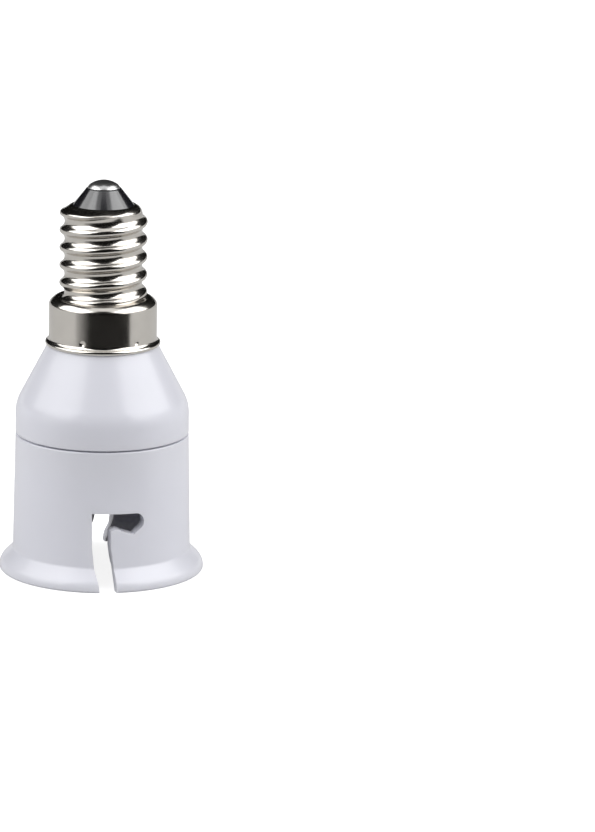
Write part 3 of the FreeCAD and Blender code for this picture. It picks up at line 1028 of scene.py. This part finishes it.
    def thread_rise(self, angle: float, height: float) -> float:
        """How far the rolled thread stands out: a tight arc at the crest, a wider one at the root.

        Args:
            angle: where the point is round the axis, in radians from +X
            height: its height

        Returns:
            The rise over the root.
        """
        lead = angle / FULL_TURN
        turn = (height - self.first_crest) / self.pitch
        nearest = round(turn - lead) + lead
        away = abs(turn - nearest) * self.pitch
        crest, depth, half = self.crest_round, self.thread_depth, self.pitch / 2.0
        both = (half**2 + depth**2) / (2.0 * depth)
        if away < half * crest / both:
            rise = depth - crest + math.sqrt(crest**2 - away**2)
        else:
            rise = both - crest - math.sqrt((both - crest) ** 2 - (half - away) ** 2)
        begun = ease((nearest - self.thread_start) / self.run_in)
        ended = ease((self.thread_end - nearest) / self.run_out)
        high = ease((self.top - self.brow_clear - height) / self.brow_fade)
        return rise * begun * ended * high

    def crimp_sink(self, angle: float, height: float) -> float:
        """How deep the round crimps about the collar's foot are at a point.

        Args:
            angle: where the point is round the axis, in radians from +X
            height: its height

        Returns:
            The depth.
        """
        if abs(height - self.crimp_height) > self.crimp_radius:
            return 0.0
        step = FULL_TURN / self.crimp_count
        first = math.radians(self.crimp_turn)
        off = (angle - first + step / 2.0) % step - step / 2.0
        away = math.hypot(off * self.collar_radius, height - self.crimp_height) / self.crimp_radius
        return self.crimp_depth * ease(1.0 - away)

    def insulator_outline(self) -> Outline:
        """Section of the black cone, with its plug in the shell's mouth.

        Returns:
            The outline.
        """
        bore = self.eyelet_radius + self.eyelet_gap
        mouth = self.mouth_radius - self.plug_gap
        inset = self.wall + self.plug_gap
        outline = Outline((bore, self.plug_foot), (self.root_radius - inset, self.plug_foot))
        outline.line((mouth, self.top - inset), (mouth, self.top - self.plug_sink))
        outline.rounded((self.cone_top_radius, self.cone_top), (bore, self.cone_top), self.cone_edge)
        return outline.line((bore, self.cone_top))

    def button_outline(self) -> Outline:
        """Section of the tip contact: a hollow rivet under a domed head.

        Returns:
            The outline.
        """
        radius, foot = self.button_radius, self.cone_top
        bore, top = self.eyelet_bore, self.eyelet_top
        outline = Outline((0.0, top)).stairs(bore, self.eyelet_foot, self.eyelet_radius, foot)
        outline.rounded((radius, foot), self.button_waist, self.button_edge)
        outline.line(self.button_waist)
        return outline.arc((0.0, self.button_top), self.button_dome, 1)


# Contacts

CONTACT_TURN = math.radians(21.0)
LEAD_PLACE = 5.1
LEAD_CORE = 0.35


def contact_place(across: float) -> Point:
    """The place on the contact line at a distance to the right of the axis."""
    return (across * math.cos(CONTACT_TURN), across * math.sin(CONTACT_TURN))


@dataclass
class ContactPost:
    """One side's contacts: the plunger, its spring, sleeve, tag and solder."""

    word: str
    side: int
    body: Body
    spread: float = 8.2
    plunger_radius: float = 2.0
    plunger_tip: float = 13.2
    plunger_dome: float = 1.4
    head_radius: float = 2.35
    head_foot: float = 18.3
    head_top: float = 19.5
    head_edge: float = 0.1
    guide_radius: float = 1.3
    guide_top: float = 23.2
    guide_round: float = 0.3
    spring_radius: float = 1.85
    spring_turns: float = 5.5
    spring_top: float = 27.95
    spring_gap: float = 0.05
    spring_closing: float = 0.06
    turn_steps: int = 28
    wire_radius: float = 0.225
    wire_sides: int = 12
    travel: float = 4.5
    solder_foot: float = 29.4
    solder_top: float = 30.7
    solder_radius: float = 0.75
    solder_rounds: Pair = (1.2, 1.6)
    solder_drop: float = 0.2
    solder_edge: float = 0.05
    solder_gap: float = 0.01

    def build(self) -> None:
        """Build and dress this side."""
        place = contact_place(self.side * self.spread / 2.0)
        pin = turned(f"contact_pin_{self.word}", self.pin_outline(), columns=64, centre=place)
        finish_piece(pin, BRASS, f"plunger_{self.word}", self.body)
        spring = self.coil(place)
        finish_piece(spring, STEEL_WIRE, f"plunger_spring_{self.word}")
        place[0] * MM
        place[1] * MM
        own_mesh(spring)
        ear = contact_place(self.side * LEAD_PLACE)
        bead = turned(f"solder_bead_{self.word}", self.bead_outline(), columns=32, centre=ear)
        finish_piece(bead, SOLDER, f"tag_solder_{self.word}")
        dress_node(f"contact_sleeve_{self.word}", BRASS)
        dress_node(f"solder_tag_{self.word}", BRASS)

    def pin_outline(self) -> Outline:
        """Section of the plunger: domed tip, shank, head and spring guide.

        Returns:
            The outline.
        """
        head, guide = self.head_radius, self.guide_radius
        dome = (self.plunger_radius**2 + self.plunger_dome**2) / (2.0 * self.plunger_dome)
        outline = Outline((0.0, self.plunger_tip))
        outline.arc((self.plunger_radius, self.plunger_tip + self.plunger_dome), dome, 1)
        outline.line((self.plunger_radius, self.head_foot))
        outline.rounded((head, self.head_foot), (head, self.head_top), self.head_edge)
        outline.rounded((head, self.head_top), (guide, self.head_top), self.head_edge)
        outline.line((guide, self.head_top))
        outline.rounded((guide, self.guide_top), (0.0, self.guide_top), self.guide_round)
        return outline.line((0.0, self.guide_top))

    def coil(self, place: Point) -> bpy.types.Object:
        """Wind the spring of round wire, its end turns closed up.

        Args:
            place: where its axis stands

        Returns:
            The spring.
        """
        low = self.head_top + self.spring_gap + self.wire_radius
        high = self.spring_top - self.wire_radius
        count = round(self.spring_turns * self.turn_steps)
        path = []
        for index in range(count + 1):
            share = index / count
            angle = FULL_TURN * (index / self.turn_steps)
            height = low + (high - low) * (share - self.spring_closing * math.sin(FULL_TURN * share))
            across = place[0] + self.spring_radius * math.cos(angle)
            back = place[1] + self.spring_radius * math.sin(angle)
            path.append(Vector((across, back, height)))
        return tube(f"coil_spring_{self.word}", path, [self.wire_radius] * len(path), self.wire_sides)

    def bead_outline(self) -> Outline:
        """Section of the solder that wets the bare wire and the tag's ear.

        Returns:
            The outline.
        """
        core = LEAD_CORE + self.solder_gap
        middle = (self.solder_foot + self.solder_top) / 2.0
        low, high = self.solder_rounds
        outline = Outline((core, self.solder_foot))
        outline.arc((self.solder_radius, middle - self.solder_drop), low, -1)
        outline.arc((core + self.solder_edge, self.solder_top), high, -1)
        return outline.line((core, self.solder_top))


@dataclass
class Wiring:
    """The carrier and the two leads that join the tags to the tip and the shell."""

    core_start: float = 29.35
    cover_start: float = 31.75
    cover_radius: float = 0.75
    cover_edge: float = 0.02
    bend_height: float = 34.95
    bend_end: float = 43.45
    bend_round: float = 3.0
    cover_end: float = 56.1
    core_end: float = 61.98
    exit_height: float = 39.55
    exit_reach: float = 8.15
    shell_cover_end: float = 37.35
    shell_bend: float = 1.2
    sides: int = 14

    def build(self) -> None:
        """Build and dress the leads, and dress the carrier."""
        dress_node("contact_carrier", INNER_SATIN)
        self.build_lead("tip_wire", self.tip_route(), self.cover_end, "centre_lead")
        self.build_lead("shell_wire", self.shell_route(), self.shell_cover_end, "shell_lead")

    def tip_route(self) -> Outline:
        """From the left tag up to the eyelet of the tip contact.

        Returns:
            The route.
        """
        route = Outline((-LEAD_PLACE, self.core_start))
        route.rounded((-LEAD_PLACE, self.bend_height), (0.0, self.bend_end), self.bend_round)
        route.rounded((0.0, self.bend_end), (0.0, self.cover_end), self.bend_round)
        return route.line((0.0, self.core_end))

    def shell_route(self) -> Outline:
        """From the right tag up and out through the neck to the shell.

        Returns:
            The route.
        """
        route = Outline((LEAD_PLACE, self.core_start))
        end = (self.exit_reach, self.exit_height)
        return route.rounded((LEAD_PLACE, self.exit_height), end, self.shell_bend).line(end)

    def build_lead(self, name: str, route: Outline, cover_end: float, node: str) -> None:
        """Draw one lead: bare wire, with insulation between two heights.

        Args:
            name: the piece's name
            route: its way in the upright plane of the contact line
            cover_end: the height at which the insulation ends
            node: the CAD node that it replaces
        """
        path, radii = [], []
        points = route.points
        for start, end in zip(points, points[1:]):
            for height in self.stops(start[1], end[1], cover_end):
                share = (height - start[1]) / (end[1] - start[1]) if end[1] != start[1] else 0.0
                across = start[0] + (end[0] - start[0]) * share
                path.append(Vector((*contact_place(across), height)))
                inside = self.cover_start < height <= cover_end
                radii.append(self.cover_radius if inside else LEAD_CORE)
        across, height = points[-1]
        path.append(Vector((*contact_place(across), height)))
        radii.append(LEAD_CORE)
        finish_piece(tube(name, path, radii, self.sides), INSULATION, node)

    def stops(self, low: float, high: float, cover_end: float) -> list[float]:
        """Heights at which a run needs a ring: its start and both sides of the insulation's ends.

        Args:
            low: the height at which the run starts
            high: the height at which it ends
            cover_end: the height at which the insulation ends

        Returns:
            The heights, going up.
        """
        limits = (self.cover_start, cover_end)
        edges = [limit + step for limit in limits for step in (-self.cover_edge, self.cover_edge)]
        return [low, *(height for height in edges if low < height < high)]


# Studio

WHITE = grey(1.0)
FLOOR_COLOURS = (grey(0.54), grey(0.56))
# Painted reflection: dark cloth colours, and a grey that fades them into the floor, seen only in reflections.
REFLECTION_CLOTH_COLOURS = (grey(0.008), rgb(0.014, 0.013, 0.012))
FADED_REFLECTION_CLOTH = grey(0.5)


@dataclass
class Studio:
    """Pale floor, white surround, two soft boxes, dark cloths seen only in reflections as painted
    reflections, and the camera.

    Lengths here are in metres and angles in degrees, but the patterns' scales are in blobs
    per millimetre.
    """

    camera_distance: float = 0.7427
    camera_height: float = 0.2076
    camera_yaw: float = 2.394
    camera_pitch: float = 13.805
    camera_roll: float = 0.97
    camera_clip: Pair = (0.01, 20.0)
    focal_pixels: float = 4808.0
    frame_height: float = 832.0
    sensor: float = 36.0
    surround: float = 0.2
    box_power: float = 5.6
    left_share: float = 0.92
    box_size: Pair = (1.0, 0.7)
    box_turn: float = 77.0
    box_rise: float = 42.0
    box_distance: float = 0.8
    box_aim: float = 0.03
    cloth_reach: float = 1.5
    cloth_steps: int = 24
    cloth_scale: float = 0.05
    cloth_roughness: float = 0.9
    mat_start: float = 0.09
    mat_height: float = 0.0005
    mat_turn: float = 58.0
    fade_turns: Pair = (-66.0, -24.0)
    front_rise: float = 0.10
    gap_turns: Pair = (44.0, 18.0)
    gap_reach: float = 0.6
    back_middle: float = 190.0
    back_half: float = 86.0
    back_foot: float = 0.12
    back_reach: float = 0.35
    floor_half: float = 2.5
    floor_scale: float = 0.01
    floor_lift: float = 0.87
    floor_reflection_glow: float = 0.12

    def build(self) -> None:
        """Set up the studio."""
        scene = bpy.context.scene
        scene.view_settings.view_transform = "Standard"
        self.make_world()
        self.make_floor()
        self.make_boxes()
        self.make_reflection_cloths()
        scene.camera = self.make_camera()

    def make_world(self) -> None:
        """White to the camera, in reflections and through glass, and a soft level for the rest."""
        world = bpy.data.worlds.new("white_surround")
        world.use_nodes = True
        sheet = NodeSheet(world.node_tree)
        shown = sheet.ray("Is Camera Ray") + sheet.ray("Is Glossy Ray")
        shown = (shown + sheet.ray("Is Transmission Ray")).clamp()
        strength = self.surround + shown * (1.0 - self.surround)
        light = sheet.add("ShaderNodeBackground", {}, {"Color": WHITE, "Strength": strength})
        sheet.end(light, "ShaderNodeOutputWorld")
        bpy.context.scene.world = world

    def make_floor(self) -> None:
        """A pale floor, a little lighter to the camera, glowing a little in reflections as painted reflection
        light, and clear from below to show the socket.
        """
        half = self.floor_half / MM
        corners = [Vector((x * half, y * half, 0.0)) for x, y in ((-1, -1), (1, -1), (1, 1), (-1, 1))]
        floor = make_object("pale_floor", corners, [(0, 1, 2, 3)])
        material, sheet = new_material("pale_floor")
        cloud = sheet.noise(sheet.place(), self.floor_scale, detail=2.0)
        matt = sheet.add("ShaderNodeBsdfDiffuse", {}, {"Color": sheet.blend(cloud, *FLOOR_COLOURS)})
        # Painted reflection: the floor glows a little more only where reflections see it.
        seen, glossed = sheet.ray("Is Camera Ray"), sheet.ray("Is Glossy Ray")
        strength = seen * self.floor_lift + glossed * self.floor_reflection_glow
        lift = sheet.add("ShaderNodeEmission", {}, {"Strength": strength})
        top = sheet.add("ShaderNodeAddShader", {}, {0: matt, 1: lift})
        below = sheet.add("ShaderNodeNewGeometry", output="Backfacing")
        clear = sheet.add("ShaderNodeBsdfTransparent")
        sheet.end(sheet.add("ShaderNodeMixShader", {}, {0: below, 1: top, 2: clear}))
        floor.data.materials.append(material)

    def make_boxes(self) -> None:
        """Two large soft boxes above, left and right of the camera, with a gap between them."""
        for word, side, share in (("left", -1, self.left_share), ("right", 1, 1.0)):
            lamp = bpy.data.lights.new(f"soft_box_{word}", "AREA")
            lamp.shape = "RECTANGLE"
            lamp.size, lamp.size_y = self.box_size
            lamp.energy = self.box_power * share
            holder = link(lamp.name, lamp)
            holder.location = self.towards(side * self.box_turn, self.box_rise, self.box_distance)
            aim = Vector((0.0, 0.0, self.box_aim)) - holder.location
            holder.rotation_mode = "QUATERNION"
            holder.rotation_quaternion = aim.to_track_quat("-Z", "Y")

    @staticmethod
    def towards(turn: float, rise: float, distance: float) -> Vector:
        """A place seen from the adapter, by degrees round from the front and above the floor.

        Args:
            turn: degrees round from the front, to the right
            rise: degrees above the floor
            distance: how far away it is

        Returns:
            The place.
        """
        azimuth, elevation = math.radians(turn), math.radians(rise)
        level = distance * math.cos(elevation)
        return Vector((level * math.sin(azimuth), -level * math.cos(azimuth), distance * math.sin(elevation)))

    def cloth(self) -> bpy.types.Material:
        """Painted reflection: dark cloth seen only in reflections, whose front part fades out at its left
        edge into the pale floor.

        Returns:
            The material.
        """
        material, sheet = new_material("painted_reflection_cloth")
        place = sheet.place()
        across = sheet.add("ShaderNodeSeparateXYZ", {}, {0: place}, "X")
        along = sheet.add("ShaderNodeSeparateXYZ", {}, {0: place}, "Y")
        turn = sheet.add("ShaderNodeMath", {"operation": "ARCTAN2"}, {0: across, 1: 0.0 - along})
        near, full = (math.radians(angle) for angle in self.fade_turns)
        dark = sheet.blend(sheet.noise(place, self.cloth_scale, detail=2.0), *REFLECTION_CLOTH_COLOURS)
        kept = (turn.between(near, full) + along.between(0.0, 1.0)).clamp()
        # Painted reflection: the cloth turns to grey towards its left edge, softening the edge of the dark
        # reflection.
        colour = sheet.blend(kept, FADED_REFLECTION_CLOTH, dark)
        sheet.surface({"Base Color": colour, "Roughness": self.cloth_roughness, "Specular IOR Level": 0.0})
        return material

    def make_reflection_cloths(self) -> None:
        """Painted reflections: dark cloths that only the gloss shows, in front on the floor, between the
        boxes, behind.
        """
        material, far, rise = self.cloth(), self.cloth_reach, self.front_rise
        mat, back = self.mat_turn, self.back_half
        low, high = self.gap_turns
        cloths = {
            "mat": (0.0, (mat, self.mat_start, self.mat_height), (mat, far, self.mat_height)),
            "front": (0.0, (mat, far, 0.0), (mat, far, rise)),
            "gap": (0.0, (low, far, rise), (high, self.gap_reach, far)),
            "back": (self.back_middle, (back, far, self.back_foot), (back, self.back_reach, far)),
        }
        for word, (middle, foot, top) in cloths.items():
            card = self.make_reflection_cloth(f"{word}_cloth", middle, foot, top)
            card.data.materials.append(material)
            # Painted reflection: the cloths are seen only by reflections, never by the camera, diffuse light
            # or shadows.
            card.visible_camera = False
            card.visible_diffuse = False
            card.visible_shadow = False

    def make_reflection_cloth(self, name: str, middle: float, low: Triple, high: Triple) -> bpy.types.Object:
        """Hang one painted-reflection cloth, an arc round the adapter between two edges.

        Args:
            name: its name
            middle: the direction of its middle, round from the front
            low: its lower edge: half its width as a turn, its distance and its height
            high: its upper edge in the same way

        Returns:
            The cloth.
        """
        steps = self.cloth_steps
        points = []
        for half, level, height in (low, high):
            for index in range(steps + 1):
                turn = math.radians(middle + half * (2.0 * index / steps - 1.0))
                points.append(Vector((level * math.sin(turn), -level * math.cos(turn), height)) / MM)
        return make_object(name, points, [(i, i + 1, i + steps + 2, i + steps + 1) for i in range(steps)])

    def make_camera(self) -> bpy.types.Object:
        """The camera, a long lens a little above the adapter and turned past it to the right.

        Returns:
            The camera.
        """
        angles = (self.camera_yaw, self.camera_pitch, self.camera_roll)
        yaw, pitch, roll = (math.radians(angle) for angle in angles)
        ahead = Vector((math.sin(yaw) * math.cos(pitch), math.cos(yaw) * math.cos(pitch), -math.sin(pitch)))
        level = Vector((math.cos(yaw), -math.sin(yaw), 0.0))
        upright = level.cross(ahead)
        right = level * math.cos(roll) + upright * math.sin(roll)
        up = upright * math.cos(roll) - level * math.sin(roll)
        lens = bpy.data.cameras.new("camera")
        lens.sensor_width = self.sensor
        lens.lens = self.focal_pixels * self.sensor / self.frame_height
        lens.clip_start, lens.clip_end = self.camera_clip
        camera = link("camera", lens)
        turn = Matrix((right, up, -ahead)).transposed().to_4x4()
        camera.matrix_world = Matrix.Translation((0.0, -self.camera_distance, self.camera_height)) @ turn
        return camera


def main() -> None:
    """Build the adapter over its frame, then the studio."""
    logging.basicConfig(level=logging.INFO, format="%(name)s: %(message)s")
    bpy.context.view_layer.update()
    Casing().build()
    ScrewCap().build()
    ContactPost("left", -1, Body.LEFT_PLUNGER).build()
    ContactPost("right", 1, Body.RIGHT_PLUNGER).build()
    Wiring().build()
    Studio().build()


if __name__ == "__main__":
    main()
